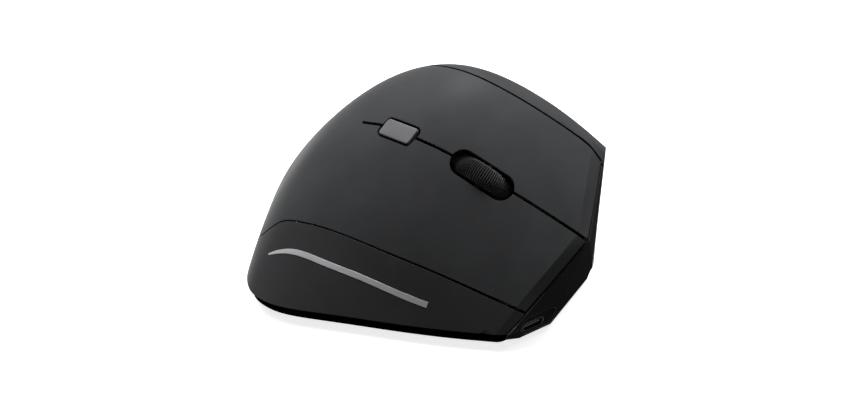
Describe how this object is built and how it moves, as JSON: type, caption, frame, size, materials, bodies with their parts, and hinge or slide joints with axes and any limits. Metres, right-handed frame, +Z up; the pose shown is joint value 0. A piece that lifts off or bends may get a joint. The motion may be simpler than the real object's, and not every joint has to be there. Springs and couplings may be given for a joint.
{
  "type": "vertical ergonomic computer mouse",
  "caption": "Right-handed vertical ergonomic wireless mouse with finger keys, ribbed scroll wheel, side buttons, accent strip and charging inlet.",
  "frame": {"origin": "on the desk plane under the body, on the glide feet's underside", "axes": "+Z up; +Y forward, towards the nose and the key fronts; +X the fingers' side, -X the thumb's side"},
  "size_m": [0.0699, 0.1175, 0.0726],
  "materials": {
    "body_black": "satin",
    "panel_black": "satin",
    "nose_black": "satin",
    "base_black": "matte",
    "strip_grey": "satin",
    "button_grey": "satin",
    "tyre_rubber": "matte",
    "wheel_plastic": "satin",
    "glide_grey": "smooth",
    "bright_steel": "satin",
    "connector_steel": "polished",
    "board_green": "solder mask",
    "switch_black": "moulded",
    "plunger_red": "moulded",
    "frame_grey": "moulded",
    "chip_black": "moulded",
    "lens_clear": "clear",
    "cell_silver": "foil"
  },
  "bodies": {
    "chassis": {"base_tray": "base_black", "glide_feet": "glide_grey", "palm_cover": "body_black", "side_panel": "panel_black", "accent_strip": "strip_grey", "thumb_shell": "body_black", "nose_cap": "nose_black", "wheel_bracket": "wheel_plastic", "key_board": "board_green", "upper_key_switch": "switch_black", "lower_key_switch": "switch_black", "wheel_switch": "switch_black", "dpi_board": "board_green", "dpi_switch": "switch_black", "thumb_board": "board_green", "forward_switch": "switch_black", "back_switch": "switch_black", "main_board": "board_green", "optical_sensor": "chip_black", "sensor_lens": "lens_clear", "usb_c_socket": "connector_steel", "battery_cell": "cell_silver", "inner_frame": "frame_grey", "power_switch_body": "switch_black", "case_screws": "bright_steel"},
    "upper_click": {"upper_key": "body_black"},
    "upper_plunge": {"upper_key_plunger": "plunger_red"},
    "lower_click": {"lower_key": "body_black"},
    "lower_plunge": {"lower_key_plunger": "plunger_red"},
    "wheel_cradle": {"wheel_carrier": "wheel_plastic", "wheel_encoder": "switch_black"},
    "wheel": {"wheel_tyre": "tyre_rubber", "wheel_hub": "wheel_plastic", "wheel_axle": "bright_steel"},
    "resolution_key": {"dpi_button": "button_grey"},
    "forward_key": {"forward_button": "button_grey"},
    "back_key": {"back_button": "button_grey"},
    "power_knob": {"power_slider": "button_grey"}
  },
  "joints": [
    {"name": "upper_key_press", "type": "hinge", "parent": "chassis", "child": "upper_click", "pos_m": [-0.0187, -0.022, 0.05863], "axis": [-0.9585, 0, 0.2852], "range_deg": [0, 0.45], "stiffness_Nm_per_rad": 4, "springref_deg": -0.17},
    {"name": "lower_key_press", "type": "hinge", "parent": "chassis", "child": "lower_click", "pos_m": [0.00518, -0.022, 0.04133], "axis": [-0.6758, 0, 0.7371], "range_deg": [0, 0.45], "stiffness_Nm_per_rad": 4, "springref_deg": -0.17},
    {"name": "upper_plunger_slide", "type": "slide", "parent": "chassis", "child": "upper_plunge", "axis": [-0.7238, -0.2863, -0.6278], "range_m": [0, 0.0006]},
    {"name": "lower_plunger_slide", "type": "slide", "parent": "chassis", "child": "lower_plunge", "axis": [-0.7238, -0.2863, -0.6278], "range_m": [0, 0.0006]},
    {"name": "wheel_press", "type": "hinge", "parent": "chassis", "child": "wheel_cradle", "pos_m": [-0.00972, 0.00102, 0.04915], "axis": [-0.69, 0.3033, 0.6572], "range_deg": [0, 1.6], "stiffness_Nm_per_rad": 0.5, "springref_deg": -0.57},
    {"name": "wheel_spin", "type": "hinge", "parent": "wheel_cradle", "child": "wheel", "pos_m": [-0.00751, 0.01779, 0.04373], "axis": [0.69, -0.3033, -0.6572], "continuous": true},
    {"name": "resolution_press", "type": "slide", "parent": "chassis", "child": "resolution_key", "axis": [-0.6584, 0.1552, -0.7365], "range_m": [0, 0.0005], "stiffness_N_per_m": 400, "springref_m": -0.0003},
    {"name": "forward_press", "type": "slide", "parent": "chassis", "child": "forward_key", "axis": [0.9882, 0.0163, 0.1524], "range_m": [0, 0.0005], "stiffness_N_per_m": 400, "springref_m": -0.0003},
    {"name": "back_press", "type": "slide", "parent": "chassis", "child": "back_key", "axis": [0.987, 0.0166, 0.1599], "range_m": [0, 0.0005], "stiffness_N_per_m": 400, "springref_m": -0.0003},
    {"name": "power_slide", "type": "slide", "parent": "chassis", "child": "power_knob", "axis": [0, 1, 0], "range_m": [0, 0.0025]}
  ],
  "couplings": [
    {"joint": "upper_plunger_slide", "follows": "upper_key_press", "m_per_rad": 0.05756},
    {"joint": "lower_plunger_slide", "follows": "lower_key_press", "m_per_rad": 0.06203}
  ]
}
